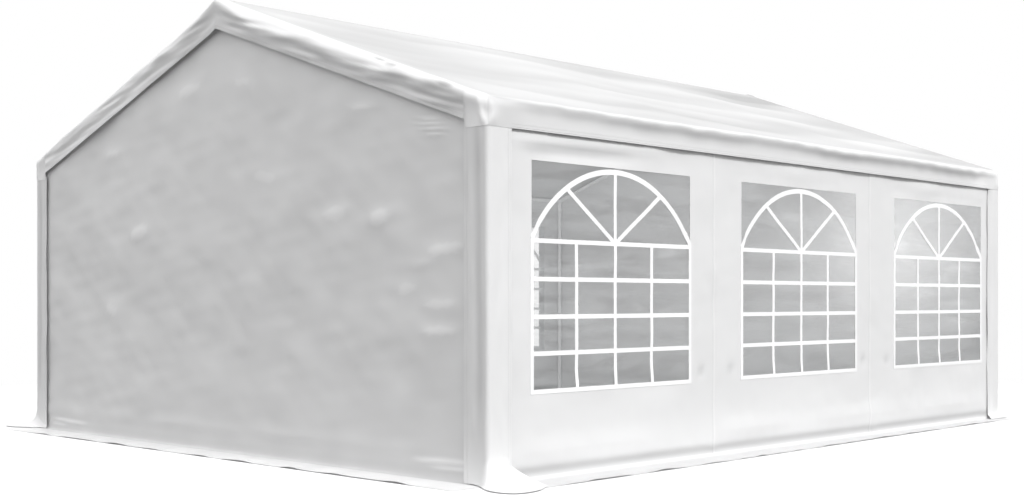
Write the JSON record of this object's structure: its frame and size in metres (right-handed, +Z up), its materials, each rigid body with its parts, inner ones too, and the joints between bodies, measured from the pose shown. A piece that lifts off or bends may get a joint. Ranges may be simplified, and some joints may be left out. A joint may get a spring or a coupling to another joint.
{
  "type": "marquee tent",
  "caption": "Gable-roofed marquee tent with a tube frame, fabric walls with ground skirts, arched clear windows along both long sides and one roof cover.",
  "frame": {"origin": "centre of the tent's outline on the ground, at the height of the foot plates' undersides", "axes": "+Z up, X along the ridge from the left gable to the right gable, -Y towards the front long wall that the picture shows"},
  "size_m": [6.5236, 5.6796, 2.9784],
  "materials": {
    "cover_cloth": "smooth coated sheet with a soft sheen",
    "wall_cloth": "coated woven sheet, slightly wrinkled",
    "window_film": "clear flexible film",
    "frame_steel": "powder coated, satin"
  },
  "bodies": {
    "root": {"back_wall": "wall_cloth", "back_window_1": "window_film", "back_window_2": "window_film", "back_window_3": "window_film", "corner_cover_back_left": "cover_cloth", "corner_cover_back_right": "cover_cloth", "corner_cover_front_left": "cover_cloth", "corner_cover_front_right": "cover_cloth", "eave_joint_back_1": "frame_steel", "eave_joint_back_2": "frame_steel", "eave_joint_back_3": "frame_steel", "eave_joint_back_4": "frame_steel", "eave_joint_front_1": "frame_steel", "eave_joint_front_2": "frame_steel", "eave_joint_front_3": "frame_steel", "eave_joint_front_4": "frame_steel", "eave_purlin_back_1": "frame_steel", "eave_purlin_back_2": "frame_steel", "eave_purlin_back_3": "frame_steel", "eave_purlin_front_1": "frame_steel", "eave_purlin_front_2": "frame_steel", "eave_purlin_front_3": "frame_steel", "front_wall": "wall_cloth", "front_window_1": "window_film", "front_window_2": "window_film", "front_window_3": "window_film", "left_gable_wall": "wall_cloth", "leg_back_1": "frame_steel", "leg_back_2": "frame_steel", "leg_back_3": "frame_steel", "leg_back_4": "frame_steel", "leg_front_1": "frame_steel", "leg_front_2": "frame_steel", "leg_front_3": "frame_steel", "leg_front_4": "frame_steel", "rafter_back_1": "frame_steel", "rafter_back_2": "frame_steel", "rafter_back_3": "frame_steel", "rafter_back_4": "frame_steel", "rafter_front_1": "frame_steel", "rafter_front_2": "frame_steel", "rafter_front_3": "frame_steel", "rafter_front_4": "frame_steel", "ridge_joint_1": "frame_steel", "ridge_joint_2": "frame_steel", "ridge_joint_3": "frame_steel", "ridge_joint_4": "frame_steel", "ridge_purlin_1": "frame_steel", "ridge_purlin_2": "frame_steel", "ridge_purlin_3": "frame_steel", "right_gable_wall": "wall_cloth", "roof_cover": "cover_cloth"}
  },
  "joints": []
}
